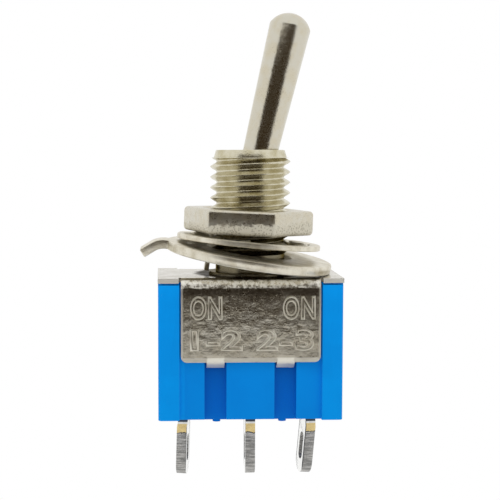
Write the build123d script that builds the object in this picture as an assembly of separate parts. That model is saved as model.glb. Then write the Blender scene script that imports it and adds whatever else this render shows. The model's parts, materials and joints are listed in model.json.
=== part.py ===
from build123d import *
import math
import os

# A miniature bat-lever toggle switch: one pole, two positions, three solder lugs.
# The origin is the lever's pivot, on the axis of the bushing. +Z runs up the bushing, the lever
# leans towards +X, and -Y is the front. Lengths are in millimetres and angles in degrees. The
# frame and the case sit off the bushing's axis by body_offset, and the outer lugs by lug_offset.

# Lever
lever_tilt = 13.3
lever_reach = 13.32
lever_tip_radius = 1.49
lever_dome_height = 0.97
lever_neck_radius = 1.21
ball_radius = 1.95
stem_radius = 0.6
stem_reach = 9.0

# Bushing
pivot_height = 5.75
barrel_height = 8.95
collar_radius = 3.0
collar_taper = 0.1
collar_height = 0.18
neck_radius = 2.5
neck_height = 1.27
thread_radius = 2.9
thread_depth = 0.45
thread_pitch = 0.75
thread_mouth = 0.6
thread_floor = 0.1
groove_level = 0.31
land_height = 0.55
land_bottom_radius = 2.65
land_top_radius = 2.45
throat_radius = 1.6
spigot_radius = 2.7
staked_lip_radius = 2.95
staked_lip_end_radius = 2.6
staked_lip_height = 0.35

# Nut and washers
nut_width = 8.25
nut_height = 1.75
nut_level = 3.83
nut_tilt = 2.2
nut_turn = 11.0
nut_shift = -0.15
nut_edge_radius = 0.25
nut_chamfer = 0.12
nut_corner_cut = 0.35
washer_shift = -0.1
lock_washer_radius = 5.22
lock_washer_rim = 0.78
lock_washer_thickness = 0.38
lock_washer_level = 2.33
lock_washer_tilt = 5.4
lock_washer_lift = 0.6
tooth_count = 10
tooth_width = 1.0
tooth_twist = 18.0
tooth_root = 0.45
tooth_turn = 9.0
locating_washer_radius = 6.05
locating_washer_thickness = 0.65
locating_washer_tilt = 9.0
locating_washer_turn = -15.0
tab_width = 1.8
tab_bend_radius = 1.5
tab_bend = 40.0
tab_tail = 0.88
tongue_width = 0.9
tongue_thickness = 0.33
tongue_bend_radius = 0.3
tongue_distance = 3.0

# Frame
plate_overhang = 0.02
sheet_thickness = 0.33
flange_drop = 5.9
flange_corner_radius = 0.42
bend_radius = 0.7
relief_width = 0.16
crimp_spacing = 4.94
crimp_width = 1.25
crimp_rise = 0.5
crimp_bend_radius = 0.75
crimp_bend = 50.0
crimp_tail = 0.45

# Case
body_offset = -0.2
case_depth = 7.9
case_drop = 10.03
case_edge_radius = 0.3
column_width = 1.48
column_lowering = 0.14
groove_width = 1.55
groove_depth = 0.8
end_wall = 1.1
end_room = 0.7
side_wall = 0.5
base_height = 0.17
base_inset = 0.6
seal_depth = 0.9
seal_wall = 0.65
seal_inset = 0.1
foot_spacing = 4.7
foot_radius = 0.28
foot_height = 0.16

# Terminals and contacts
terminal_pitch = 4.7
lug_offset = -0.05
terminal_thickness = 0.7
terminal_width = 2.0
terminal_reach = 4.59
terminal_corner_radius = 0.9
twist_length = 1.0
eye_width = 0.9
eye_length = 2.0
eye_edge = 0.95
left_lean = 1.5
left_twist = -9.0
right_lean = 5.0
right_twist = 8.0
pad_margin = 0.05
pad_bend_radius = 0.4
rivet_radius = 0.8
rivet_height = 0.45
rivet_dome_radius = 1.8
rivet_shank_radius = 0.4
contact_inset = 0.9
ear_width = 0.6
ear_height = 0.55
waist_width = 1.6

# Rocking blade, plunger and spring
blade_overhang = 0.8
blade_width = 2.4
blade_thickness = 0.3
blade_bend_radius = 5.8
blade_bend = 12.0
blade_corner_radius = 0.5
rocker_swing = 6.5
plunger_reach = 11.66
plunger_radius = 1.2
plunger_tip_radius = 0.55
plunger_tip_angle = 50.0
plunger_length = 3.7
plunger_floor = 1.0
spring_wire = 0.2
spring_turns = 4.0

# Clearances
stop_gap = 0.05
ball_clearance = 0.03
stem_clearance = 0.15
thread_clearance = 0.07
nut_side_gap = 0.1
nut_end_gap = 0.05
washer_clearance = 0.1
resting_gap = 0.02
sheet_gap = 0.05
flange_side_gap = 0.12
slot_clearance = 0.03
rocker_clearance = 0.03
waist_clearance = 0.12
contact_gap = 0.02
plunger_gap = 0.06
plunger_fit = 0.06
spring_fit = 0.06

# Levels and places worked out from the sizes above
plate_top = -pivot_height
plate_bottom = plate_top - sheet_thickness
barrel_top = plate_top + barrel_height
collar_top = plate_top + collar_height
thread_bottom = collar_top + neck_height
thread_top = barrel_top - land_height
pitch_radius = thread_radius - thread_depth / 2
nut_bore = pitch_radius + thread_clearance
nut_seat_radius = nut_bore - abs(nut_shift) - nut_side_gap
washer_bore = thread_radius + abs(washer_shift) + washer_clearance
staked_bottom = plate_bottom - staked_lip_height
flange_bottom = plate_top - flange_drop
case_bottom = plate_top - case_drop
base_bottom = case_bottom - base_height
cavity_half_width = terminal_pitch + end_room
case_width = 2 * (cavity_half_width + end_wall)
plate_width = case_width + 2 * plate_overhang
recess_width = case_width - 2 * column_width
flange_width = recess_width - 2 * flange_side_gap
plate_depth = case_depth  # the flanges lie flush with the case
recess_half_depth = plate_depth / 2 - sheet_thickness - sheet_gap
groove_half_depth = recess_half_depth - groove_depth
cavity_half_depth = groove_half_depth - side_wall
rocker_axis = -(plunger_reach + plunger_gap + blade_thickness + rocker_clearance)
notch_half_width = waist_width / 2 + waist_clearance
contact_distance = terminal_pitch - contact_inset
blade_half_length = contact_distance + blade_overhang


def turned(edges):
    """The solid made by turning a half outline, drawn in the XZ plane, about Z."""
    return revolve(make_face(edges), Axis.Z)


def arc_point(centre_z, radius, angle):
    """A point on an arc about (0, centre_z) in the XZ plane, its angle counted from straight up."""
    turn = math.radians(angle)
    return (radius * math.sin(turn), 0, centre_z + radius * math.cos(turn))


def arc(centre_z, radius, start, end):
    """An arc about (0, centre_z) in the XZ plane, with angles counted from straight up."""
    angles = (start, (start + end) / 2, end)
    return ThreePointArc(*[arc_point(centre_z, radius, angle) for angle in angles])


def bent_strip(lead, radius, bend, tail, thickness, width):
    """A strip of sheet that heads along +X from x = -lead, bends towards -Z at x = 0 and runs on."""
    half = thickness / 2
    turn = math.radians(bend)
    run = Vector(tail * math.cos(turn), 0, -tail * math.sin(turn))
    outer = Vector(*arc_point(-radius, radius + half, bend))
    inner = Vector(*arc_point(-radius, radius - half, bend))
    edges = [
        arc(-radius, radius + half, 0, bend),
        Polyline(outer, outer + run, inner + run, inner),
        arc(-radius, radius - half, bend, 0),
        Polyline((0, 0, -half), (-lead, 0, -half), (-lead, 0, half), (0, 0, half)),
    ]
    return extrude(make_face(edges), width / 2, both=True)


def both_sides(part):
    """A piece of the front together with the same piece turned round to the back."""
    return [part, Rot(0, 0, 180) * part]


def lever_radius(height):
    """The lever's radius at a height above its pivot, along its own axis."""
    shoulder = lever_reach - lever_dome_height
    neck = math.sqrt(ball_radius**2 - lever_neck_radius**2)
    share = (height - neck) / (shoulder - neck)
    return lever_neck_radius + (lever_tip_radius - lever_neck_radius) * share


def swept_radius(level, radius):
    """How far from the bushing's axis the leaning lever reaches at a level."""
    lean = math.radians(lever_tilt)
    return abs(level) * math.tan(lean) + radius / math.cos(lean)


def locating_washer_height():
    """The level of the locating washer's centre when its right side rests on the frame."""
    tilt = math.radians(locating_washer_tilt)
    half = locating_washer_thickness / 2
    return plate_top + resting_gap + locating_washer_radius * math.sin(tilt) + half * math.cos(tilt)


def contact_top():
    """The level of a fixed contact's crown, just under the blade's lowered arm."""
    outer_radius = blade_bend_radius + blade_thickness / 2
    centre = rocker_clearance + blade_thickness / 2 + blade_bend_radius
    bend = math.radians(blade_bend)
    swing = math.radians(rocker_swing)
    x = outer_radius * math.sin(bend)
    z = centre - outer_radius * math.cos(bend)
    lowered_x = x * math.cos(swing) + z * math.sin(swing)
    lowered_z = z * math.cos(swing) - x * math.sin(swing)
    slope = bend - swing
    arm = lowered_z + (contact_distance - lowered_x) * math.tan(slope)
    return rocker_axis + arm - rivet_dome_radius * (1 / math.cos(slope) - 1) - contact_gap


def floor_top():
    """The level of the case's inner floor, which the terminals' pads lie on."""
    return contact_top() - rivet_height - terminal_thickness


def thread_grooves(bottom, top, mouth):
    """Outline points of the ring grooves that stand in for the thread between two levels."""
    half = mouth / 2
    root = thread_radius - thread_depth
    first = math.ceil((bottom + half - groove_level) / thread_pitch)
    last = math.floor((top - half - groove_level) / thread_pitch)
    points = []
    for i in range(first, last + 1):
        level = groove_level + i * thread_pitch
        points += [(thread_radius, level - half), (root, level - thread_floor / 2),
                   (root, level + thread_floor / 2), (thread_radius, level + half)]
    return points


def lug_place(side):
    """Where an outer lug stands along X."""
    return side * terminal_pitch + lug_offset


def toggle_lever():
    shoulder = lever_reach - lever_dome_height
    dome_radius = (lever_tip_radius**2 + lever_dome_height**2) / (2 * lever_dome_height)
    dome_angle = math.degrees(math.asin(lever_tip_radius / dome_radius))
    neck = math.sqrt(ball_radius**2 - lever_neck_radius**2)
    neck_angle = math.degrees(math.asin(lever_neck_radius / ball_radius))
    stem_angle = 180 - math.degrees(math.asin(stem_radius / ball_radius))
    stem_top = -math.sqrt(ball_radius**2 - stem_radius**2)
    edges = [
        arc(lever_reach - dome_radius, dome_radius, 0, dome_angle),
        Line((lever_tip_radius, 0, shoulder), (lever_neck_radius, 0, neck)),
        arc(0, ball_radius, neck_angle, stem_angle),
        Polyline((stem_radius, 0, stem_top), (stem_radius, 0, -stem_reach), (0, 0, -stem_reach),
                 (0, 0, lever_reach)),
    ]
    return Rot(0, lever_tilt, 0) * turned(edges)


def bushing():
    """The barrel, with ring grooves for its thread and a plain seat where the nut is screwed on."""
    bore = ball_radius + ball_clearance
    throat_angle = math.degrees(math.asin(throat_radius / bore))
    mouth = swept_radius(barrel_top, lever_radius(barrel_top)) + stop_gap
    tail_bore = swept_radius(staked_bottom, stem_radius) + stem_clearance
    nut_centre = plate_top + nut_level
    nut_room = nut_height / 2 + thread_radius * math.tan(math.radians(nut_tilt)) + nut_end_gap
    outside = [
        (tail_bore, staked_bottom),
        (staked_lip_end_radius, staked_bottom),
        (staked_lip_radius, plate_bottom),
        (spigot_radius, plate_bottom),
        (spigot_radius, plate_top),
        (collar_radius, plate_top),
        (collar_radius - collar_taper, collar_top),
        (neck_radius, collar_top),
        (neck_radius, thread_bottom),
        *thread_grooves(thread_bottom + thread_depth, nut_centre - nut_room, thread_pitch),
        (nut_seat_radius, nut_centre - nut_room),
        (nut_seat_radius, nut_centre + nut_room),
        (thread_radius, nut_centre + nut_room),
        *thread_grooves(nut_centre + nut_room, thread_top, thread_mouth),
        (thread_radius, thread_top),
        (land_bottom_radius, thread_top),
        (land_top_radius, barrel_top),
        (mouth, barrel_top),
        arc_point(0, bore, throat_angle)[::2],
    ]
    edges = [
        Polyline([(radius, 0, level) for radius, level in outside]),
        arc(0, bore, throat_angle, 90),
        Polyline((bore, 0, 0), (bore, 0, collar_top), (tail_bore, 0, staked_bottom)),
    ]
    return turned(edges)


def hex_nut():
    """The nut, bored to the thread's pitch line and countersunk on both sides."""
    corner = nut_width / math.sqrt(3)
    face = corner - nut_corner_cut
    half = nut_height / 2
    blank = extrude(RegularPolygon(corner, 6), half, both=True)
    blank = fillet(blank.edges().filter_by(Axis.Z), nut_edge_radius)
    envelope = turned([
        Polyline((0, 0, -half), (face, 0, -half), (corner, 0, nut_chamfer - half),
                 (corner, 0, half - nut_chamfer), (face, 0, half), (0, 0, half), (0, 0, -half))
    ])
    sink = thread_radius + thread_clearance
    nut = (blank & envelope) - Cylinder(nut_bore, 2 * nut_height)
    depth = sink - nut_bore
    nut -= Pos(0, 0, half - depth / 2) * Cone(nut_bore, sink, depth)
    nut -= Pos(0, 0, depth / 2 - half) * Cone(sink, nut_bore, depth)
    return Pos(nut_shift, 0, plate_top + nut_level) * Rot(0, nut_tilt, 0) * Rot(0, 0, -nut_turn) * nut


def washer_tooth():
    """An inner tooth of the lock washer, reaching in along +X and twisted out of the washer's plane."""
    rim_inside = lock_washer_radius - lock_washer_rim
    root = rim_inside + lock_washer_rim / 2
    flat = Rectangle(lock_washer_thickness / 2, tooth_width)
    full = Rectangle(lock_washer_thickness, tooth_width)
    across = Rot(tooth_twist, 0, 0) * Rot(0, 90, 0) * full
    sections = [
        Pos(root, 0, 0) * Rot(0, 90, 0) * flat,
        Pos(rim_inside - tooth_root, 0, 0) * across,
        Pos(washer_bore, 0, 0) * across,
    ]
    return loft(sections, ruled=True)


def lock_washer():
    rim_inside = lock_washer_radius - lock_washer_rim
    washer = Cylinder(lock_washer_radius, lock_washer_thickness)
    washer -= Cylinder(rim_inside, 2 * lock_washer_thickness)
    tooth = washer_tooth()
    for i in range(tooth_count):
        washer += Rot(0, 0, tooth_turn + i * 360 / tooth_count) * tooth
    place = Pos(washer_shift, 0, plate_top + lock_washer_level)
    return place * Rot(-lock_washer_lift, lock_washer_tilt, 0) * washer


def locating_washer():
    """A ring with a tab bent down at its rim and a tongue bent upright at its bore, both at -X."""
    half = locating_washer_thickness / 2
    tilt = math.radians(locating_washer_tilt)
    height = locating_washer_height()
    washer = Cylinder(locating_washer_radius, locating_washer_thickness)
    washer -= Cylinder(washer_bore, 2 * locating_washer_thickness)
    tab = bent_strip(locating_washer_thickness, tab_bend_radius, tab_bend, tab_tail,
                     locating_washer_thickness, tab_width)
    washer += Pos(-locating_washer_radius, 0, 0) * Rot(0, 0, 180) * tab
    tongue_level = tongue_thickness / 2 - half
    turn = math.radians(locating_washer_turn)
    inner_face = tongue_distance - tongue_thickness / 2
    uphill = inner_face * math.cos(turn) - tongue_width / 2 * abs(math.sin(turn))
    lowest = (collar_top + resting_gap - height) / math.cos(tilt) - uphill * math.tan(tilt)
    tail = tongue_level - tongue_bend_radius - lowest
    tongue = bent_strip(locating_washer_thickness, tongue_bend_radius, 90, tail,
                        tongue_thickness, tongue_width)
    washer += Pos(-tongue_distance - tongue_bend_radius, 0, tongue_level) * tongue
    aside = locating_washer_turn
    lie = Rot(0, 0, aside) * Rot(0, locating_washer_tilt, 0) * Rot(0, 0, -aside)
    return Pos(washer_shift, 0, height) * lie * washer


def frame_flange():
    """The front flange, from the plate's edge down to its crimped tabs."""
    tail = flange_drop - bend_radius
    strip = bent_strip(relief_width, bend_radius - sheet_thickness / 2, 90, tail,
                       sheet_thickness, flange_width)
    heading = Plane(origin=(0, bend_radius - plate_depth / 2, plate_top - sheet_thickness / 2),
                    x_dir=(0, -1, 0), z_dir=(0, 0, 1))
    flange = heading.location * strip
    corners = flange.edges().filter_by(Axis.Y).group_by(Axis.Z)[0]
    flange = fillet(corners, flange_corner_radius)
    for x in (-crimp_spacing / 2, crimp_spacing / 2):
        start = (x, sheet_thickness / 2 - plate_depth / 2, flange_bottom + crimp_rise)
        notch = Box(crimp_width, 2 * sheet_thickness, 2 * crimp_rise)
        flange -= Pos(x, start[1], flange_bottom) * notch
        crimp = bent_strip(crimp_rise / 5, crimp_bend_radius, crimp_bend, crimp_tail,
                           sheet_thickness, crimp_width)
        flange += Plane(origin=start, x_dir=(0, 0, -1), z_dir=(0, -1, 0)).location * crimp
    return flange


def frame():
    """The folded sheet bracket: a plate staked under the bushing and two flanges."""
    middle = plate_top - sheet_thickness / 2
    plate = Pos(0, 0, middle) * Box(plate_width, plate_depth, sheet_thickness)
    plate -= Pos(-body_offset, 0, middle) * Cylinder(spigot_radius, 2 * sheet_thickness)
    edge = Box(flange_width + 2 * relief_width, 2 * bend_radius, 2 * sheet_thickness)
    for cut in both_sides(Pos(0, -plate_depth / 2, middle) * edge):
        plate -= cut
    for flange in both_sides(frame_flange()):
        plate += flange
    return Pos(body_offset, 0, 0) * plate


def case_body():
    """The case's outside: corner columns, recesses for the flanges, grooves for their tabs, a base."""
    height = plate_bottom - case_bottom
    middle = (plate_bottom + case_bottom) / 2
    body = Pos(0, 0, middle) * Box(case_width, case_depth, height)
    body = fillet(body.edges().filter_by(Axis.Z), case_edge_radius)
    recess = Box(recess_width, 2 * (case_depth / 2 - recess_half_depth), 2 * height)
    rim_half_depth = plate_depth / 2 - bend_radius
    rim = Box(recess_width, 2 * (case_depth / 2 - rim_half_depth), 2 * (bend_radius - sheet_thickness))
    groove = Box(groove_width, 2 * (case_depth / 2 - groove_half_depth), 2 * height)
    step = Box(2 * case_width, 2 * (case_depth / 2 - recess_half_depth), 2 * column_lowering)
    front = -case_depth / 2
    cuts = [Pos(0, front, middle) * recess, Pos(0, front, plate_bottom) * rim,
            Pos(0, front, plate_bottom) * step]
    cuts += [Pos(x, front, middle) * groove for x in (-crimp_spacing / 2, crimp_spacing / 2)]
    for cut in cuts:
        for side in both_sides(cut):
            body -= side
    base_width = case_width - 2 * base_inset
    body += Pos(0, 0, case_bottom) * Box(base_width, 2 * groove_half_depth, 2 * base_height)
    foot_y = foot_radius - groove_half_depth
    for x in (-foot_spacing / 2, foot_spacing / 2):
        foot = Pos(x, foot_y, base_bottom) * Cylinder(foot_radius, 2 * foot_height)
        for side in both_sides(foot):
            body += side
    return body


def seal_pocket(inset):
    """The pocket in the case's underside. The seal fills it up to an inset from its mouth."""
    half_depth = groove_half_depth - seal_wall
    width = 2 * cavity_half_width
    depth = seal_depth - inset
    return Pos(body_offset, 0, base_bottom + inset + depth / 2) * Box(width, 2 * half_depth, depth)


def case():
    """The moulded case, open under the frame's plate, with slots for the terminals in its floor."""
    floor = floor_top()
    body = case_body()
    height = plate_bottom - floor
    cavity = Box(2 * cavity_half_width, 2 * cavity_half_depth, height)
    body -= Pos(0, 0, floor + height / 2) * cavity
    body = Pos(body_offset, 0, 0) * body
    lip_room = Cylinder(staked_lip_radius + sheet_gap, 2 * (staked_lip_height + sheet_gap))
    body -= Pos(0, 0, plate_bottom) * lip_room
    body -= seal_pocket(0)
    slot = Box(terminal_thickness + 2 * slot_clearance, terminal_width + 2 * slot_clearance,
               4 * (floor - base_bottom))
    for x, lean in ((lug_place(-1), left_lean), (0, 0), (lug_place(1), right_lean)):
        cut = Pos(x, 0, floor) * Rot(0, lean, 0) * slot
        body -= cut & (Pos(0, 0, floor) * Box(2 * case_width, case_depth, 2 * (floor - base_bottom)))
    return body


def lug(twist):
    """A solder lug below x = y = 0 at the case's floor: straight in its slot, then twisted."""
    buried = floor_top() - base_bottom
    straight = Box(terminal_thickness, terminal_width, buried,
                   align=(Align.CENTER, Align.CENTER, Align.MAX))
    top = Plane(origin=(0, 0, -buried)) * Rectangle(terminal_thickness, terminal_width)
    low_plane = Plane(origin=(0, 0, -buried - twist_length)).rotated((0, 0, twist))
    low = low_plane * Rectangle(terminal_thickness, terminal_width)
    turning = loft([top, low], ruled=True)
    length = terminal_reach - twist_length
    blade = Box(terminal_thickness, terminal_width, length,
                align=(Align.CENTER, Align.CENTER, Align.MAX))
    end_edges = blade.edges().filter_by(Axis.X).group_by(Axis.Z)[0]
    blade = fillet(end_edges, terminal_corner_radius)
    tip = low_plane.location * blade
    eye_centre = -buried - terminal_reach + eye_edge + eye_length / 2
    eye = extrude(SlotOverall(eye_length, eye_width), terminal_thickness, both=True)
    piece = straight + turning + tip
    return piece - Pos(0, 0, eye_centre) * Rot(0, 0, twist) * Rot(0, 90, 0) * eye


def outer_terminal(side, lean, twist):
    """A lug at one end, with a pad that lies on the floor and carries the fixed contact."""
    floor = floor_top()
    half = terminal_thickness / 2
    outer_face = lug_place(side) + side * half
    inner_end = side * (contact_distance - rivet_radius - pad_margin)
    pad = Box(abs(outer_face - inner_end), terminal_width, terminal_thickness)
    top_edges = pad.edges().filter_by(Axis.Y).group_by(Axis.Z)[-1]
    outer_edge = top_edges.sort_by(Axis.X, reverse=side > 0)[0]
    pad = Pos((outer_face + inner_end) / 2, 0, floor + half) * fillet(outer_edge, pad_bend_radius)
    shank = Cylinder(rivet_shank_radius, 2 * terminal_thickness)
    pad -= Pos(side * contact_distance, 0, floor + half) * shank
    return Pos(lug_place(side), 0, floor) * Rot(0, lean, 0) * lug(twist) + pad


def common_terminal():
    """The middle lug, whose forked head carries the blade on a rounded saddle."""
    floor = floor_top()
    half = terminal_thickness / 2
    head_width = 2 * (notch_half_width + ear_width)
    head_height = rocker_axis + ear_height - floor
    head = Pos(0, 0, floor + head_height / 2) * Box(terminal_thickness, head_width, head_height)
    notch = Box(2 * terminal_thickness, 2 * notch_half_width, 2 * (ear_height + half))
    head -= Pos(0, 0, rocker_axis + ear_height) * notch
    head += Pos(0, 0, rocker_axis - half) * Rot(90, 0, 0) * Cylinder(half, 2 * notch_half_width)
    return head + Pos(0, 0, floor) * lug(0)


def fixed_contact(side):
    """A silver rivet: a shank through the terminal's pad and a domed head on it."""
    top = contact_top()
    edge_angle = math.degrees(math.asin(rivet_radius / rivet_dome_radius))
    edge_level = arc_point(top - rivet_dome_radius, rivet_dome_radius, edge_angle)[2]
    seat = top - rivet_height
    edges = [
        arc(top - rivet_dome_radius, rivet_dome_radius, 0, edge_angle),
        Polyline((rivet_radius, 0, edge_level), (rivet_radius, 0, seat), (rivet_shank_radius, 0, seat),
                 (rivet_shank_radius, 0, floor_top()), (0, 0, floor_top()), (0, 0, top)),
    ]
    return Pos(side * contact_distance, 0, 0) * turned(edges)


def rocker_contact():
    """The rocking blade, bent to a shallow V, with a waist that sits between the terminal's ears."""
    half = blade_thickness / 2
    centre = rocker_clearance + half + blade_bend_radius
    bend = math.radians(blade_bend)
    arm = blade_half_length - blade_bend_radius * bend
    lower = [Vector(*arc_point(centre, blade_bend_radius + half, 180 - blade_bend * side))
             for side in (1, -1)]
    upper = [Vector(*arc_point(centre, blade_bend_radius - half, 180 - blade_bend * side))
             for side in (1, -1)]
    runs = [Vector(side * arm * math.cos(bend), 0, arm * math.sin(bend)) for side in (1, -1)]
    edges = [
        arc(centre, blade_bend_radius + half, 180 + blade_bend, 180 - blade_bend),
        Polyline(lower[0], lower[0] + runs[0], upper[0] + runs[0], upper[0]),
        arc(centre, blade_bend_radius - half, 180 - blade_bend, 180 + blade_bend),
        Polyline(upper[1], upper[1] + runs[1], lower[1] + runs[1], lower[1]),
    ]
    blade = extrude(make_face(edges), blade_width / 2, both=True)
    blade = fillet(blade.edges().group_by(SortBy.LENGTH)[0], blade_corner_radius)
    side_cut = Box(terminal_thickness + 2 * waist_clearance, blade_width, 4 * blade_thickness)
    for side in (-1, 1):
        blade -= Pos(0, side * (waist_width + blade_width) / 2, centre - blade_bend_radius) * side_cut
    return Pos(0, 0, rocker_axis) * Rot(0, -rocker_swing, 0) * blade


def contact_plunger():
    """The nylon cup that slides on the lever's stem and presses on the blade."""
    top = plunger_length - plunger_reach
    floor = plunger_floor - plunger_reach
    bore = stem_radius + plunger_fit
    tip_angle = 180 - plunger_tip_angle
    tip_centre = plunger_tip_radius - plunger_reach
    tip_edge = arc_point(tip_centre, plunger_tip_radius, tip_angle)
    cone_top = tip_edge[2] + (plunger_radius - tip_edge[0]) * math.tan(math.radians(plunger_tip_angle))
    edges = [
        arc(tip_centre, plunger_tip_radius, 180, tip_angle),
        Polyline(tip_edge, (plunger_radius, 0, cone_top), (plunger_radius, 0, top), (bore, 0, top),
                 (bore, 0, floor), (0, 0, floor), (0, 0, -plunger_reach)),
    ]
    return Rot(0, lever_tilt, 0) * turned(edges)


def plunger_spring():
    """The coil spring between the stem's end and the cup's floor."""
    coil_radius = stem_radius + plunger_fit - spring_fit - spring_wire / 2
    bottom = plunger_floor - plunger_reach + resting_gap + spring_wire / 2
    height = -stem_reach - resting_gap - spring_wire / 2 - bottom
    path = Helix(height / spring_turns, height, coil_radius)
    section = Plane(origin=path @ 0, z_dir=path % 0) * Circle(spring_wire / 2)
    coil = sweep(section, path=path, is_frenet=True)
    return Rot(0, lever_tilt, 0) * Pos(0, 0, bottom) * coil


def terminal_seal(terminals):
    """The potting in the case's underside, around the three lugs."""
    seal = seal_pocket(seal_inset)
    for terminal in terminals:
        seal -= terminal
    return seal


def pieces():
    """Every node's solid, by name."""
    left = outer_terminal(-1, left_lean, left_twist)
    right = outer_terminal(1, right_lean, right_twist)
    common = common_terminal()
    return {
        "toggle_lever": toggle_lever(),
        "bushing": bushing(),
        "hex_nut": hex_nut(),
        "lock_washer": lock_washer(),
        "locating_washer": locating_washer(),
        "frame": frame(),
        "case": case(),
        "left_terminal": left,
        "common_terminal": common,
        "right_terminal": right,
        "left_fixed_contact": fixed_contact(-1),
        "right_fixed_contact": fixed_contact(1),
        "rocker_contact": rocker_contact(),
        "contact_plunger": contact_plunger(),
        "plunger_spring": plunger_spring(),
        "terminal_seal": terminal_seal([left, common, right]),
    }


os.makedirs("parts", exist_ok=True)
for name, piece in pieces().items():
    export_step(piece, f"parts/{name}.step")
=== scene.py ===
import bpy
import json
from math import acos, cos, degrees, radians, sin, sqrt, tan, tau
from functools import partial
from mathutils import Matrix, Vector

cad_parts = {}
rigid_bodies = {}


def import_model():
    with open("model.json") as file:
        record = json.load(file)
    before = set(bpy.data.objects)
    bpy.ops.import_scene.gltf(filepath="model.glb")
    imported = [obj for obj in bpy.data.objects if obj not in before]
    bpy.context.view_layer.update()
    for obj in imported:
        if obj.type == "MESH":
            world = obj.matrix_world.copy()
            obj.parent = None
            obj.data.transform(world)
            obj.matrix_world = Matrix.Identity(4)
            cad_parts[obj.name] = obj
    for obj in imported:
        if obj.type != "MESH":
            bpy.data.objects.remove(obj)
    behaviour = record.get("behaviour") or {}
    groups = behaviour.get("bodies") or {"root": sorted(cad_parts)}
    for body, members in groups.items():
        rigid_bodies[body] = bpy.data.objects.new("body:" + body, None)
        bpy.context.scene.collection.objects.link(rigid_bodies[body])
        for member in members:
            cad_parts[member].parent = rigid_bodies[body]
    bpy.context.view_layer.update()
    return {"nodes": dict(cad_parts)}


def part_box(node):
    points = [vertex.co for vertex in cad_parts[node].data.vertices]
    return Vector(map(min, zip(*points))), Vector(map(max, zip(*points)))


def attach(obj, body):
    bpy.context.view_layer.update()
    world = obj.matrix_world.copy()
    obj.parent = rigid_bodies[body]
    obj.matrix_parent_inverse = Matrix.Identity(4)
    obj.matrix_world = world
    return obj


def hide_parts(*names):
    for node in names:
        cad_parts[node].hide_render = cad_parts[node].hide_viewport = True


for leftover in list(bpy.data.objects):
    bpy.data.objects.remove(leftover, do_unlink=True)
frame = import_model()

# Everything is modelled in millimetres and brought down to metres when it is complete.
# The origin is the lever's pivot, +Z runs up the bushing and -Y is the front.
millimetre = 0.001
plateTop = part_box("frame")[1][2] / millimetre
coarseWeld = 0.0005


# helpers for modelling

def deselectAll():
    if bpy.context.object and bpy.context.object.mode != "OBJECT":
        bpy.ops.object.mode_set(mode="OBJECT")
    bpy.ops.object.select_all(action="DESELECT")


def pick(piece):
    deselectAll()
    piece.select_set(True)
    bpy.context.view_layer.objects.active = piece


def editMode(piece, kind="FACE", select="DESELECT"):
    pick(piece)
    bpy.ops.object.mode_set(mode="EDIT")
    bpy.ops.mesh.select_mode(type=kind)
    bpy.ops.mesh.select_all(action=select)


def objectMode():
    bpy.ops.object.mode_set(mode="OBJECT")


def applyPlace(piece):
    pick(piece)
    bpy.ops.object.transform_apply(location=True, rotation=True, scale=True)


def place(piece, turn=(0, 0, 0), move=(0, 0, 0)):
    piece.rotation_euler = [radians(angle) for angle in turn]
    piece.location = move
    applyPlace(piece)
    return piece


def bevelEdges(piece, width, segments, test):
    # bevels the edges whose two ends pass the test
    editMode(piece, "EDGE")
    objectMode()
    points = piece.data.vertices
    for edge in piece.data.edges:
        edge.select = test(*[points[i].co for i in edge.vertices])
    bpy.ops.object.mode_set(mode="EDIT")
    bpy.ops.mesh.bevel(offset=width, segments=segments)
    objectMode()


def selectFaces(piece, test):
    # picks faces by their centre and normal
    editMode(piece, "FACE")
    objectMode()
    for face in piece.data.polygons:
        face.select = test(face.center, face.normal)
    bpy.ops.object.mode_set(mode="EDIT")


def pushFaces(step):
    bpy.ops.mesh.extrude_region_move(TRANSFORM_OT_translate={"value": step})


def cleanUp(piece, distance=0.0002):
    editMode(piece, "VERT", "SELECT")
    bpy.ops.mesh.remove_doubles(threshold=distance)
    bpy.ops.mesh.normals_make_consistent(inside=False)
    objectMode()


def applyModifier(piece, kind, **settings):
    pick(piece)
    modifier = piece.modifiers.new(kind.lower(), kind)
    for name, value in settings.items():
        setattr(modifier, name, value)
    bpy.ops.object.modifier_apply(modifier=modifier.name)


def softenEdges(piece, width, angle=40):
    applyModifier(piece, "BEVEL", width=width, segments=2, limit_method="ANGLE",
        angle_limit=radians(angle), use_clamp_overlap=True, harden_normals=False)


def combine(piece, other, operation="UNION"):
    applyModifier(piece, "BOOLEAN", object=other, operation=operation, solver="EXACT")
    bpy.data.objects.remove(other, do_unlink=True)


def carve(piece, tool):
    combine(piece, tool, "DIFFERENCE")


def newest(name):
    piece = bpy.context.object
    piece.name = piece.data.name = name
    return piece


def block(name, low, high):
    deselectAll()
    bpy.ops.mesh.primitive_cube_add(size=1, location=[(a + b) / 2 for a, b in zip(low, high)])
    piece = newest(name)
    piece.scale = [b - a for a, b in zip(low, high)]
    applyPlace(piece)
    return piece


def rod(name, radius, bottom, top, centre=(0, 0), sides=96):
    deselectAll()
    bpy.ops.mesh.primitive_cylinder_add(vertices=sides, radius=radius, depth=top - bottom,
        location=(centre[0], centre[1], (bottom + top) / 2))
    piece = newest(name)
    applyPlace(piece)
    return piece


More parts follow.
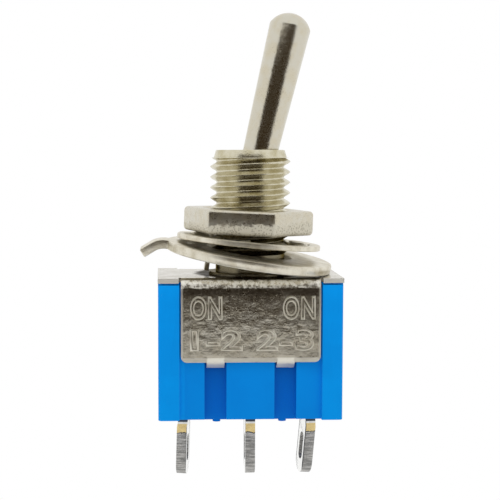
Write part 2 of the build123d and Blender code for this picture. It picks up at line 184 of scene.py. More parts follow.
def chain(name, points, closed=False):
    # a line of vertices drawn from one point by extruding it along
    deselectAll()
    bpy.ops.mesh.primitive_plane_add(size=1, location=(0, 0, 0))
    piece = newest(name)
    bpy.ops.object.mode_set(mode="EDIT")
    bpy.ops.mesh.select_mode(type="VERT")
    bpy.ops.mesh.select_all(action="SELECT")
    bpy.ops.mesh.merge(type="CENTER")
    bpy.ops.transform.translate(value=points[0])
    ends = list(points[1:]) + ([points[0]] if closed else [])
    for here, there in zip(points, ends):
        bpy.ops.mesh.extrude_vertices_move(TRANSFORM_OT_translate={"value": Vector(there) - Vector(here)})
    if closed:
        bpy.ops.mesh.select_all(action="SELECT")
        bpy.ops.mesh.remove_doubles(threshold=0.0001)
    objectMode()
    return piece


def turned(name, outline, steps=96, closed=False):
    # a half outline of (radius, height) points, spun about Z
    piece = chain(name, [(radius, 0, height) for radius, height in outline], closed)
    editMode(piece, "VERT", "SELECT")
    bpy.ops.mesh.spin(steps=steps, angle=tau, center=(0, 0, 0), axis=(0, 0, 1))
    objectMode()
    cleanUp(piece, coarseWeld)
    return piece


def aboutZero(spacing):
    return -spacing / 2, spacing / 2


def arcPoints(centre, radius, start, end, count):
    # points on an arc, with angles counted from +X towards +Z
    angles = [radians(start + (end - start) * i / count) for i in range(count + 1)]
    return [(centre[0] + radius * cos(a), centre[1] + radius * sin(a)) for a in angles]


def copyOf(piece, name):
    twin = piece.copy()
    twin.data = piece.data.copy()
    twin.name = twin.data.name = name
    bpy.context.collection.objects.link(twin)
    return twin


def joined(pieces):
    deselectAll()
    for piece in pieces:
        piece.select_set(True)
    bpy.context.view_layer.objects.active = pieces[0]
    bpy.ops.object.join()
    return pieces[0]


def complete(piece, smoothAngle, body, slot, material, *nodes):
    pick(piece)
    bpy.ops.object.shade_smooth_by_angle(angle=radians(smoothAngle))
    piece.scale = (millimetre,) * 3
    applyPlace(piece)
    piece.data.materials.clear()
    piece.data.materials.append(material)
    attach(piece, body)
    if nodes:
        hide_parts(*nodes)
    print("made", piece.name, len(piece.data.polygons), "faces")


# helpers for materials, and the node groups they share

def newGroup(name, inputs, outputs):
    group = bpy.data.node_groups.new(name, "ShaderNodeTree")
    for label, value in inputs.items():
        kind = "Float" if isinstance(value, float) else "Vector"
        socket = group.interface.new_socket(label, in_out="INPUT", socket_type="NodeSocket" + kind)
        socket.default_value = value
    for label in outputs:
        group.interface.new_socket(label, in_out="OUTPUT", socket_type="NodeSocketFloat")
    source = group.nodes.new("NodeGroupInput")
    target = group.nodes.new("NodeGroupOutput")
    return group, source.outputs, target.inputs


def feed(socket, value):
    # a socket is linked to another one, or set to a value; colours come without their alpha
    if isinstance(value, bpy.types.NodeSocket):
        socket.id_data.links.new(value, socket)
    else:
        socket.default_value = (*value, 1) if socket.type == "RGBA" else value


def addNode(tree, kind, values={}, **settings):
    node = tree.nodes.new(kind)
    for name, value in settings.items():
        setattr(node, name, value)
    for name, value in values.items():
        feed(node.inputs[name], value)
    return node


def fedNode(kind, *values, **settings):
    # the first socket among the values says which tree the node goes to
    tree = next(value.id_data for value in values if isinstance(value, bpy.types.NodeSocket))
    return addNode(tree, kind, dict(enumerate(values)), **settings).outputs


def calculate(operation, *values):
    return fedNode("ShaderNodeMath", *values, operation=operation)[0]


plus, minus, times, larger, distanceOf = [partial(calculate, name) for name in ("ADD", "SUBTRACT",
    "MULTIPLY", "MAXIMUM", "ABSOLUTE")]


def rangeOf(value, low, high, toLow=0.0, toHigh=1.0):
    return fedNode("ShaderNodeMapRange", value, low, high, toLow, toHigh,
        interpolation_type="SMOOTHSTEP")[0]


def blended(share, first, second):
    node = addNode(share.id_data, "ShaderNodeMix", {0: share, 6: first, 7: second}, data_type="RGBA")
    return node.outputs[2]


def noiseOf(where, scale, detail=3.0, roughness=0.55, stretch=None):
    tree = where.id_data
    if stretch:
        where = addNode(tree, "ShaderNodeMapping", {"Vector": where, "Scale": stretch}).outputs[0]
    return addNode(tree, "ShaderNodeTexNoise", {"Vector": where, "Scale": scale, "Detail": detail,
        "Roughness": roughness}).outputs["Fac"]


def vectorOf(operation, *values):
    return fedNode("ShaderNodeVectorMath", *values, operation=operation)


def partsOf(vector):
    return fedNode("ShaderNodeSeparateXYZ", vector)


grainLook = {"fineRatio": 3.7, "coarse": 0.65, "fine": 0.35}
speckleLook = {"cloudSize": 0.22, "pit": (0.30, 0.12), "reach": 0.3, "patch": (0.52, 0.72)}
rubLook = {"edge": (0.995, 0.9), "patchSize": 2.2, "patch": (0.3, 0.6)}


def makeGrain():
    # fine marks drawn out across one direction, as a lathe or a rolling mill leaves them
    group, source, target = newGroup("drawnGrain", {"Place": (0, 0, 0), "Across": (1, 1, 30),
        "Fineness": 1.0}, ["Marks"])
    spread = vectorOf("MULTIPLY", source["Place"], source["Across"])[0]
    coarse = noiseOf(spread, source["Fineness"], 4.0, 0.6)
    fine = noiseOf(spread, times(source["Fineness"], grainLook["fineRatio"]), 2.0, 0.5)
    feed(target["Marks"], plus(times(coarse, grainLook["coarse"]), times(fine, grainLook["fine"])))
    return group


def makeSpeckle():
    # small pits and grains of dirt scattered over a plated face
    look = speckleLook
    group, source, target = newGroup("platingSpeckle", {"Place": (0, 0, 0), "Size": 5.0, "Amount": 0.5},
        ["Specks", "Cloud"])
    cells = addNode(group, "ShaderNodeTexVoronoi", {"Vector": source["Place"], "Scale": source["Size"],
        "Randomness": 1.0}, feature="F1").outputs["Distance"]
    cloud = noiseOf(source["Place"], times(source["Size"], look["cloudSize"]), 3.0)
    patch = rangeOf(plus(cloud, times(source["Amount"], look["reach"])), *look["patch"])
    feed(target["Specks"], times(rangeOf(cells, *look["pit"]), patch))
    feed(target["Cloud"], cloud)
    return group


def makeEdgeRub():
    # brighter metal or worn moulding where corners are rubbed
    group, source, target = newGroup("edgeRub", {"Width": 0.1, "Place": (0, 0, 0)}, ["Rub"])
    rounded = addNode(group, "ShaderNodeBevel", {"Radius": source["Width"]}, samples=6).outputs[0]
    plain = addNode(group, "ShaderNodeNewGeometry").outputs["Normal"]
    match = vectorOf("DOT_PRODUCT", rounded, plain)["Value"]
    patch = rangeOf(noiseOf(source["Place"], rubLook["patchSize"]), *rubLook["patch"])
    feed(target["Rub"], times(rangeOf(match, *rubLook["edge"]), patch))
    return group


drawnGrain = makeGrain()
platingSpeckle = makeSpeckle()
edgeRub = makeEdgeRub()


def useGroup(group, **values):
    node = values["Place"].id_data.nodes.new("ShaderNodeGroup")
    node.node_tree = group
    for name, value in values.items():
        feed(node.inputs[name], value)
    return node.outputs


def placeOf(tree, turn=(0, 0, 0)):
    # the place on the piece in millimetres, turned into the piece's own axes
    position = addNode(tree, "ShaderNodeTexCoord").outputs["Object"]
    return addNode(tree, "ShaderNodeMapping", {"Vector": position, "Scale": (1 / millimetre,) * 3,
        "Rotation": [radians(angle) for angle in turn]}, vector_type="POINT").outputs[0]


def newMaterial(name, turn=(0, 0, 0), **fixed):
    # a Principled material, its shader and the place on the piece
    material = bpy.data.materials.new(name)
    material.use_nodes = True
    shader = material.node_tree.nodes["Principled BSDF"]
    for label, value in fixed.items():
        feed(shader.inputs[label.replace("_", " ")], value)
    return material, shader, placeOf(material.node_tree, turn)


def connect(shader, height, **sockets):
    # height is in millimetres and becomes the bump
    bump = addNode(shader.id_data, "ShaderNodeBump", {"Height": height, "Strength": 1.0,
        "Distance": millimetre}).outputs[0]
    for label, value in {**sockets, "Normal": bump}.items():
        feed(shader.inputs[label.replace("_", " ")], value)


nickelLook = {"pale": (0.66, 0.62, 0.52), "warm": (0.60, 0.55, 0.43), "stain": (0.22, 0.19, 0.13),
    "bright": (0.80, 0.77, 0.67), "gloss": 0.16, "fineness": 1.0, "speckSize": 6.0, "specks": 0.3,
    "dirt": 0.25, "edge": 0.08, "waveSize": 1.2, "grainDepth": 0.004, "waveDepth": 0.02,
    "pitDepth": 0.003, "cloud": (0.35, 0.7), "rubbed": 0.6, "dullness": 0.3, "grain": (0.3, 0.7),
    "grainGloss": (-0.04, 0.06), "across": (0.6, 0.6, 24), "turn": (0, 0, 0)}


def nickelMaterial(name, **changes):
    # bright nickel: the drawn grain bends the reflections and the specks dull them
    look = {**nickelLook, **changes}
    material, shader, where = newMaterial(name, look["turn"], Metallic=1.0)
    grain = useGroup(drawnGrain, Place=where, Across=look["across"], Fineness=look["fineness"])["Marks"]
    dirt = useGroup(platingSpeckle, Place=where, Size=look["speckSize"], Amount=look["specks"])
    rub = useGroup(edgeRub, Width=look["edge"] * millimetre, Place=where)["Rub"]
    wave = noiseOf(where, look["waveSize"], 2.0)
    colour = blended(rangeOf(dirt["Cloud"], *look["cloud"]), look["pale"], look["warm"])
    colour = blended(times(dirt["Specks"], look["dirt"]), colour, look["stain"])
    colour = blended(times(rub, look["rubbed"]), colour, look["bright"])
    base = plus(look["gloss"], times(dirt["Specks"], look["dirt"] * look["dullness"]))
    rough = plus(base, rangeOf(grain, *look["grain"], *look["grainGloss"]))
    height = plus(times(grain, look["grainDepth"]), times(wave, look["waveDepth"]))
    height = minus(height, times(dirt["Specks"], look["pitDepth"]))
    connect(shader, height, Base_Color=colour, Roughness=rough)
    return material


def tarnishAndPaintedLight(material, mask, colour, share, duller=0.0, chalky=0.0):
    # a darker or paler film laid over part of a finished material: real tarnish and frost, and also painted
    # shade and painted highlights
    sockets = material.node_tree.nodes["Principled BSDF"].inputs
    amount = times(mask, share)
    plain = sockets["Base Color"].links[0].from_socket
    feed(sockets["Base Color"], blended(amount, plain, colour))
    if duller:
        rough = sockets["Roughness"].links[0].from_socket
        feed(sockets["Roughness"], plus(rough, times(amount, duller)))
    if chalky:
        feed(sockets["Metallic"], minus(1.0, times(mask, chalky)))


def paintedShadeTint(material, mask, colour):
    # painted shade in the reflections: seen at a low angle, a metal shows its edge tint more than its own
    # colour, and under the mask that tint is made dark
    sockets = material.node_tree.nodes["Principled BSDF"].inputs
    feed(sockets["Specular Tint"], blended(mask, (1, 1, 1), colour))


# lever

lever = {"reach": 13.316, "tipRadius": 1.49, "domeHeight": 0.97, "neckRadius": 1.21, "ballRadius": 1.95,
    "stemRadius": 0.6, "stemReach": 9.0, "stemEdge": 0.08, "tilt": 13.3}
leverMaterial = nickelMaterial("leverNickel", turn=(0, -lever["tilt"], 0), pale=(0.61, 0.58, 0.49), gloss=0.2)


def makeLever():
    size = lever
    stemRadius, stemEnd, edge = size["stemRadius"], -size["stemReach"], size["stemEdge"]
    dome = (size["tipRadius"] ** 2 + size["domeHeight"] ** 2) / (2 * size["domeHeight"])
    domeAngle = degrees(acos(size["tipRadius"] / dome))
    neck = degrees(acos(size["neckRadius"] / size["ballRadius"]))
    stem = -degrees(acos(stemRadius / size["ballRadius"]))
    outline = arcPoints((0, size["reach"] - dome), dome, 90, domeAngle, 14)
    outline += arcPoints((0, 0), size["ballRadius"], neck, stem, 22)
    outline += [(stemRadius, stemEnd + edge), (stemRadius - edge, stemEnd), (0, stemEnd)]
    piece = turned("switchLever", outline)
    place(piece, (0, size["tilt"], 0))
    complete(piece, 30, "lever", "lever_nickel", leverMaterial, "toggle_lever")


makeLever()


# bushing

bushing = {"top": 8.95, "collarRadius": 3.0, "collarHeight": 0.18, "collarEdge": 0.06, "neckRadius": 2.5,
    "neckHeight": 1.27, "threadRadius": 2.9, "rootRadius": 2.45, "pitch": 0.75, "turns": 9.5,
    "threadStart": 0.4, "threadEnd": 0.12, "crestLevel": -0.25, "landHeight": 0.55, "landBottom": 2.65,
    "landTop": 2.45, "landEdge": 0.05, "throat": 1.6, "seat": 1.98, "mouth": 2.09, "mouthEdge": 0.04,
    "stemRoom": 0.77, "spigotRadius": 2.7, "lipRadius": 2.95, "lipHeight": 0.35, "lipEdge": 0.1,
    "sheet": 0.33}
bushingMaterial = nickelMaterial("bushingNickel", pale=(0.66, 0.62, 0.48), warm=(0.52, 0.47, 0.31),
    specks=0.5, gloss=0.24)
# painted shade for the bushing's neck: its colour, the dark tint for its reflections, their share, the levels
# it fades over and its ragged edge
neckPaintedShade = {"colour": (0.13, 0.11, 0.07), "tint": (0.35, 0.31, 0.22), "share": 0.85,
    "levels": (-2.5, -2.8), "patchSize": 1.5, "ragged": 0.4}


def paintNeckShade(material):
    # painted shade: the hidden neck under the nut, between the washers, is painted dark where shade falls,
    # and its reflections are tinted dark as well
    look = neckPaintedShade
    where = placeOf(material.node_tree)
    ragged = plus(partsOf(where)[2], times(noiseOf(where, look["patchSize"]), look["ragged"]))
    paintedShade = rangeOf(ragged, *look["levels"])
    tarnishAndPaintedLight(material, paintedShade, look["colour"], look["share"])
    paintedShadeTint(material, paintedShade, look["tint"])


paintNeckShade(bushingMaterial)


def helixCutter(name, profile, firstLevel, turns, stepsPerTurn=96):
    # profile is a closed loop of (radius, height) points and rises right-handed about Z
    piece = chain(name, [(radius, 0, height + firstLevel) for radius, height in profile], closed=True)
    applyModifier(piece, "SCREW", angle=tau * turns, screw_offset=bushing["pitch"] * turns, iterations=1,
        steps=int(stepsPerTurn * turns), render_steps=int(stepsPerTurn * turns), axis="Z",
        use_merge_vertices=False)
    editMode(piece, "VERT", "SELECT")
    bpy.ops.mesh.remove_doubles(threshold=0.0003)
    bpy.ops.mesh.select_all(action="DESELECT")
    bpy.ops.mesh.select_non_manifold()
    bpy.ops.mesh.fill_holes(sides=0)
    bpy.ops.mesh.select_all(action="SELECT")
    bpy.ops.mesh.normals_make_consistent(inside=False)
    objectMode()
    return piece


def trimAbove(piece, level, keepBelow=True):
    editMode(piece, "VERT", "SELECT")
    bpy.ops.mesh.bisect(plane_co=(0, 0, level), plane_no=(0, 0, 1), use_fill=True, clear_outer=keepBelow,
        clear_inner=not keepBelow)
    objectMode()


def makeBushing():
    size = bushing
    top = plateTop + size["top"]
    under = plateTop - size["sheet"]
    collar = plateTop + size["collarHeight"]
    neckTop = collar + size["neckHeight"]
    landBottom = top - size["landHeight"]
    lip = under - size["lipHeight"]
    throatAngle = degrees(acos(size["throat"] / size["seat"]))
    tail = abs(lip) * tan(radians(lever["tilt"])) + size["stemRoom"]
    crest, root = size["threadRadius"], size["rootRadius"]
    lipRadius, collarRadius = size["lipRadius"], size["collarRadius"]
    outline = [(lipRadius, lip + size["lipEdge"]), (lipRadius, under), (size["spigotRadius"], under),
        (size["spigotRadius"], plateTop), (collarRadius, plateTop),
        (collarRadius, collar - size["collarEdge"]), (collarRadius - size["collarEdge"], collar),
        (size["neckRadius"], collar), (size["neckRadius"], neckTop),
        (crest, neckTop + size["threadStart"]), (crest, landBottom - size["threadEnd"]),
        (crest - size["threadEnd"], landBottom), (size["landBottom"], landBottom),
        (size["landTop"] + size["landEdge"], top - size["landEdge"]), (size["landTop"], top),
        (size["mouth"] + size["mouthEdge"], top), (size["mouth"], top - size["mouthEdge"])]
    outline += arcPoints((0, 0), size["seat"], throatAngle, 0, 10)
    outline += [(size["seat"], collar), (tail, lip), (lipRadius - size["lipEdge"], lip)]
    piece = turned("threadedBushing", outline, closed=True)
    # half of the thread's groove as (radius, height), rounded at the root and past the crest
    half = [(root, 0.03), (root + 0.03, 0.075), (root + 0.33, 0.252), (crest - 0.05, 0.305),
        (crest, 0.352), (crest + 0.03, 0.366)]
    profile = [(radius, -height) for radius, height in half]
    profile += [(radius, height) for radius, height in reversed(half)]
    firstLevel = size["crestLevel"] - size["pitch"] * 5.5 + size["pitch"] / 2
    cutter = helixCutter("threadCutter", profile, firstLevel, size["turns"])
    trimAbove(cutter, landBottom - 0.02)
    trimAbove(cutter, neckTop + 0.05, keepBelow=False)
    carve(piece, cutter)
    cleanUp(piece)
    complete(piece, 38, "housing", "bushing_nickel", bushingMaterial, "bushing")


makeBushing()


# nut

nut = {"width": 8.25, "height": 1.75, "level": 3.83, "tilt": 2.2, "turn": 11.0, "shift": -0.15,
    "edge": 0.3, "rim": 0.3, "bore": 3.08, "groove": 3.4, "grooveSpan": (0.4, 0.55), "sink": 3.5,
    "sinkDepth": 0.25, "ringStart": 0.3, "rings": 2}
nutMaterial = nickelMaterial("nutNickel", across=(3, 3, 3), pale=(0.62, 0.59, 0.50), specks=0.7, dirt=0.4,
    speckSize=7.0, gloss=0.29, grainDepth=0.002, waveSize=0.9, waveDepth=0.035, edge=0.2)
frostLook = {"patchSize": 2.6, "ragged": 1.3, "levels": (-1.3, -1.43), "pitSize": 6.5,
    "pit": (0.48, 0.22), "colour": (0.74, 0.70, 0.58), "share": 0.9, "duller": 0.35, "chalky": 0.5,
    "pitColour": (0.34, 0.30, 0.21), "pitShare": 0.7}


def frostLowerHalf(material):
    # the barrel plating left the lower half of every flat dull, cream and pitted
    look = frostLook
    where = placeOf(material.node_tree)
    ragged = times(noiseOf(where, look["patchSize"], 4.0, 0.65), look["ragged"])
    frost = rangeOf(plus(partsOf(where)[2], ragged), *look["levels"])
    pits = addNode(material.node_tree, "ShaderNodeTexVoronoi",
        {"Vector": where, "Scale": look["pitSize"]}).outputs["Distance"]
    dark = times(frost, rangeOf(pits, *look["pit"]))
    tarnishAndPaintedLight(material, frost, look["colour"], look["share"], look["duller"], look["chalky"])
    tarnishAndPaintedLight(material, dark, look["pitColour"], look["pitShare"])


frostLowerHalf(nutMaterial)


def makeNut():
    size = nut
    corner = size["width"] / sqrt(3)
    half = size["height"] / 2
    over = half + 0.1
    piece = rod("hexNut", corner, -half, half, sides=6)
    place(piece, (0, 0, 30))
    bevelEdges(piece, size["edge"] * tan(radians(30)), 5,
        lambda a, b: abs(a.x - b.x) < 0.01 and abs(a.y - b.y) < 0.01)
    bevelEdges(piece, size["rim"], 4, lambda a, b: abs(a.z - b.z) < 0.01)
    outline = [(0, -over), (size["sink"], -over), (size["bore"], size["sinkDepth"] - half)]
    low = size["ringStart"] - half
    pitch = (size["height"] - 2 * size["ringStart"]) / size["rings"]
    for i in range(size["rings"]):
        outline += [(size["bore"], low + i * pitch)]
        outline += [(size["groove"], low + (i + share) * pitch) for share in size["grooveSpan"]]
    outline += [(size["bore"], half - size["ringStart"]), (size["bore"], half - size["sinkDepth"]),
        (size["sink"], over), (0, over)]
    carve(piece, turned("nutBore", outline))
    cleanUp(piece)
    softenEdges(piece, 0.035, 24)
    place(piece, (0, 0, -size["turn"]))
    place(piece, (0, size["tilt"], 0), (size["shift"], 0, plateTop + size["level"]))
    complete(piece, 30, "nut", "nut_nickel", nutMaterial, "hex_nut")


makeNut()


# the two loose washers

lockWasher = {"radius": 5.22, "rim": 0.78, "thickness": 0.38, "soft": 0.05, "level": 2.33, "tilt": 5.4,
    "lift": 0.6, "shift": -0.1, "teeth": 10, "toothWidth": 1.0, "toothThickness": 0.9, "toothTaper": 0.86,
    "twist": 18.0, "root": 0.45, "turn": 9.0, "bore": 3.1}
locatingWasher = {"radius": 6.05, "bore": 3.1, "thickness": 0.65, "soft": 0.06, "torn": 0.025,
    "tilt": 9.0, "turn": -15.0, "shift": -0.1, "gap": 0.02, "tabWidth": 1.8, "tabRadius": 1.5,
    "tabBend": 40.0, "tabTail": 0.88, "tongueWidth": 0.9, "tongueThickness": 0.33, "tongueRadius": 0.3,
    "tongueDistance": 2.9, "lead": 0.7}
washerMaterial = nickelMaterial("washerNickel", across=(6, 6, 2), pale=(0.76, 0.72, 0.61), specks=0.6,
    gloss=0.40, waveSize=1.6)


def ringOutline(inside, outside, half, soft, rough=0.0):
    # a stamped ring's section: rounded over on top and a little torn below
    return [(inside, -half + soft), (inside + soft, -half), (outside - soft - rough, -half),
        (outside - rough, -half + soft), (outside - rough, -half * 0.2), (outside, -half * 0.05),
        (outside, half - 2 * soft), (outside - 0.6 * soft, half - 0.6 * soft), (outside - 2 * soft, half),
        (inside + 2 * soft, half), (inside + 0.6 * soft, half - 0.6 * soft), (inside, half - 2 * soft)]


def makeLockWasher():
    size = lockWasher
    inside = size["radius"] - size["rim"]
    half = size["thickness"] / 2
    piece = turned("lockWasher", ringOutline(inside, size["radius"], half, size["soft"]), 120, closed=True)
    reach = inside - size["root"]
    wide, thin = size["toothWidth"] / 2, half * size["toothThickness"]
    tooth = block("washerTooth", (inside, -wide, -thin), (inside + 0.5, wide, thin))
    selectFaces(tooth, lambda centre, normal: normal.x < -0.9)
    pushFaces((-size["root"], 0, 0))
    bpy.ops.transform.rotate(value=-radians(size["twist"]), orient_axis="X",
        center_override=(reach, 0, 0))
    pushFaces((size["bore"] - reach, 0, 0))
    bpy.ops.transform.resize(value=(1, size["toothTaper"], size["toothTaper"]),
        center_override=(size["bore"], 0, 0))
    objectMode()
    softenEdges(tooth, 0.04)
    teeth = [copyOf(tooth, "washerTooth") for i in range(size["teeth"])]
    for i, twin in enumerate(teeth):
        place(twin, (0, 0, size["turn"] + i * 360 / size["teeth"]))
    bpy.data.objects.remove(tooth, do_unlink=True)
    combine(piece, joined(teeth))
    cleanUp(piece)
    place(piece, (0, size["tilt"], 0))
    place(piece, (-size["lift"], 0, 0), (size["shift"], 0, plateTop + size["level"]))
    complete(piece, 35, "housing", "washer_nickel", washerMaterial, "lock_washer")


def bentBlock(name, lead, thickness, width, radius, bend, tail, steps=8):
    # a strip that heads along +X from -lead, bends down at x = 0 and runs on
    piece = block(name, (-lead, -width / 2, -thickness / 2), (0, width / 2, thickness / 2))
    selectFaces(piece, lambda centre, normal: normal.x > 0.9)
    bpy.ops.mesh.spin(steps=steps, angle=radians(bend), center=(0, 0, -radius), axis=(0, -1, 0))
    if tail:
        turn = radians(bend)
        pushFaces((tail * cos(turn), 0, -tail * sin(turn)))
    objectMode()
    cleanUp(piece, coarseWeld)
    return piece


def makeLocatingWasher():
    size = locatingWasher
    half = size["thickness"] / 2
    tilt = radians(size["tilt"])
    height = plateTop + size["gap"] + size["radius"] * sin(tilt) + half * cos(tilt)
    piece = turned("locatingWasher", ringOutline(size["bore"], size["radius"], half, size["soft"],
        size["torn"]), 144, closed=True)
    tab = bentBlock("washerTab", size["lead"], size["thickness"] - 0.01, size["tabWidth"],
        size["tabRadius"], size["tabBend"], size["tabTail"], 10)
    softenEdges(tab, 0.07, 50)
    place(tab, (0, 0, 180), (-size["radius"], 0, 0))
    combine(piece, tab)
    thin = size["tongueThickness"]
    level = thin / 2 - half + 0.005
    turn = radians(size["turn"])
    uphill = (size["tongueDistance"] - thin / 2) * cos(turn)
    uphill -= size["tongueWidth"] / 2 * abs(sin(turn))
    collar = plateTop + bushing["collarHeight"] + size["gap"]
    lowest = (collar - height) / cos(tilt) - uphill * tan(tilt)
    tongue = bentBlock("washerTongue", size["lead"], thin, size["tongueWidth"], size["tongueRadius"], 90,
        level - size["tongueRadius"] - lowest)
    softenEdges(tongue, 0.04, 50)
    place(tongue, move=(-size["tongueDistance"] - size["tongueRadius"], 0, level))
    combine(piece, tongue)
    cleanUp(piece)
    place(piece, (0, 0, -size["turn"]))
    place(piece, (0, size["tilt"], 0))
    place(piece, (0, 0, size["turn"]), (size["shift"], 0, height))
    complete(piece, 35, "housing", "washer_nickel", washerMaterial, "locating_washer")


makeLockWasher()
makeLocatingWasher()


# frame

bracket = {"width": 13.04, "depth": 7.9, "sheet": 0.33, "offset": -0.2, "flangeWidth": 9.8,
    "flangeDrop": 5.9, "bendRadius": 0.7, "corner": 0.42, "relief": 0.16, "hole": 2.7,
    "crimpSpacing": 4.94, "crimpWidth": 1.25, "crimpRise": 0.5, "crimpRadius": 0.75, "crimpBend": 50.0,
    "crimpTail": 0.45, "slit": -0.02}
frameMaterial = nickelMaterial("framePlating", across=(1, 1, 8), pale=(0.56, 0.53, 0.45),
    warm=(0.49, 0.45, 0.36), gloss=0.2, grainDepth=0.006, waveSize=1.7, waveDepth=0.03, specks=0.5,
    dirt=0.3)
# levels are counted from the plate's top, and those of low and rim from the flange's bottom edge;
# a film is its colour and share, then how much duller and how chalky it is; some films are real marks, and
# some are painted shade and painted highlights
frameWearAndPaintedLight = {"flange": (-0.45, -0.6), "rugged": (2.5, 0.25), "crease": (-1.2, -0.9),
    "creaseTop": (-0.48, -0.6), "streaks": (0.45, 0.62), "streakLevel": (-2.3, -1.2),
    "streakReach": (3.0, 1.6), "low": (1.9, 0.6), "rim": (0.36, 0.26), "side": (-0.2, -0.05),
    "ring": (4.5, 3.9), "ringShadeRagged": (1.2, 0.5), "beside": (0.02, 0.1), "plateEdgeHighlight": (0.02, 0),
    "band": (-0.6, -0.48), "bendHighlightTop": (-0.06, -0.2), "bendHighlightEnd": (5.0, 4.8),
    "mottle": (0.4, 0.58, 0.25, 1.0), "creaseFilm": ((0.16, 0.135, 0.10), 0.75),
    "streakFilm": ((0.15, 0.12, 0.09), 0.6), "lowFilm": ((0.30, 0.27, 0.21), 0.5),
    "rimFilm": ((0.82, 0.79, 0.70), 0.75, 0.3), "ringPaintedShadeFilm": ((0.17, 0.145, 0.10), 0.8),
    "ringPaintedShadeTint": (0.10, 0.085, 0.06), "plateEdgeHighlightFilm": ((0.84, 0.82, 0.76), 0.9, 0.45),
    "bendHighlightFilm": ((0.97, 0.94, 0.85), 0.95, 0.2, 0.8)}


def paintFrameWearAndLight(material):
    # darker just under the bend, with dark streaks and a darker foot on the flange, and paler along the
    # flange's rim; painted shade around the bushing on the plate's top, and painted highlights along the bend
    # and the plate's front edge
    wearAndLight = frameWearAndPaintedLight
    where = placeOf(material.node_tree)
    aside, ahead, height = partsOf(where)
    halfFlange = bracket["flangeWidth"] / 2
    bottom = plateTop - bracket["flangeDrop"]

    def rise(value, name, start=0.0):
        return rangeOf(value, *[start + level for level in wearAndLight[name]])

    flangeFace = rise(height, "flange", plateTop)
    onTop = minus(1.0, flangeFace)
    shifted = distanceOf(minus(aside, bracket["offset"]))
    patchSize, ragged = wearAndLight["rugged"]
    depth = plus(height, times(noiseOf(where, patchSize), ragged))
    crease = times(rise(depth, "crease", plateTop), rise(depth, "creaseTop", plateTop))
    tarnishAndPaintedLight(material, times(crease, flangeFace), *wearAndLight["creaseFilm"])
    streaks = rise(noiseOf(where, 2.6, 3.0, 0.6, (1.6, 1, 0.18)), "streaks")
    streaks = times(streaks, rise(height, "streakLevel", plateTop))
    streaks = times(streaks, rise(shifted, "streakReach"))
    tarnishAndPaintedLight(material, times(streaks, flangeFace), *wearAndLight["streakFilm"])
    tarnishAndPaintedLight(material, times(rise(height, "low", bottom), flangeFace), *wearAndLight["lowFilm"])
    rim = larger(rise(height, "rim", bottom), rise(shifted, "side", halfFlange))
    tarnishAndPaintedLight(material, times(rim, flangeFace), *wearAndLight["rimFilm"])
    # painted shade and painted reflection: the plate's top around the bushing is painted dark, standing in
    # for the shade under the washers and the reflection of their dark undersides
    reach = vectorOf("LENGTH", vectorOf("MULTIPLY", where, (1, 1, 0))[0])["Value"]
    patchSize, ragged = wearAndLight["ringShadeRagged"]
    ring = plus(reach, times(noiseOf(where, patchSize, 2.0), ragged))
    paintedShade = times(rise(ring, "ring"), onTop)
    tarnishAndPaintedLight(material, paintedShade, *wearAndLight["ringPaintedShadeFilm"])
    paintedShadeTint(material, paintedShade, wearAndLight["ringPaintedShadeTint"])
    # painted highlight: a pale strip painted on the plate's front edge beside the flange, standing in for the
    # light caught along that edge
    plateEdgeHighlight = times(times(rise(shifted, "beside", halfFlange), onTop),
        rise(ahead, "plateEdgeHighlight", -bracket["depth"] / 2))
    tarnishAndPaintedLight(material, plateEdgeHighlight, *wearAndLight["plateEdgeHighlightFilm"])
    # painted highlight: a pale, chalky, mottled band painted along the bend, standing in for the light the
    # bend catches
    band = times(rise(depth, "band", plateTop), rise(height, "bendHighlightTop", plateTop))
    band = times(band, rangeOf(noiseOf(where, 3.4, 4.0, 0.65), *wearAndLight["mottle"]))
    tarnishAndPaintedLight(material, times(band, rise(shifted, "bendHighlightEnd")), *wearAndLight["bendHighlightFilm"])


paintFrameWearAndLight(frameMaterial)


def addCrimp(piece, x):
    # a notch in the flange's edge, and the tab from it that heads down and bends in to the case
    size = bracket
    sheet = size["sheet"]
    face = (sheet - size["depth"]) / 2
    bottom = plateTop - size["flangeDrop"]
    top = bottom + size["crimpRise"]
    wide = size["crimpWidth"] / 2 + size["slit"]
    carve(piece, block("crimpNotch", (x - wide, face - sheet, bottom - 1), (x + wide, face + sheet, top)))
    crimp = bentBlock("crimpTab", 0.12, sheet - 0.004, size["crimpWidth"], size["crimpRadius"],
        size["crimpBend"], size["crimpTail"], 6)
    crimp.matrix_world = Matrix(((0, 1, 0, x), (0, 0, -1, face), (-1, 0, 0, top), (0, 0, 0, 1)))
    applyPlace(crimp)
    combine(piece, crimp)


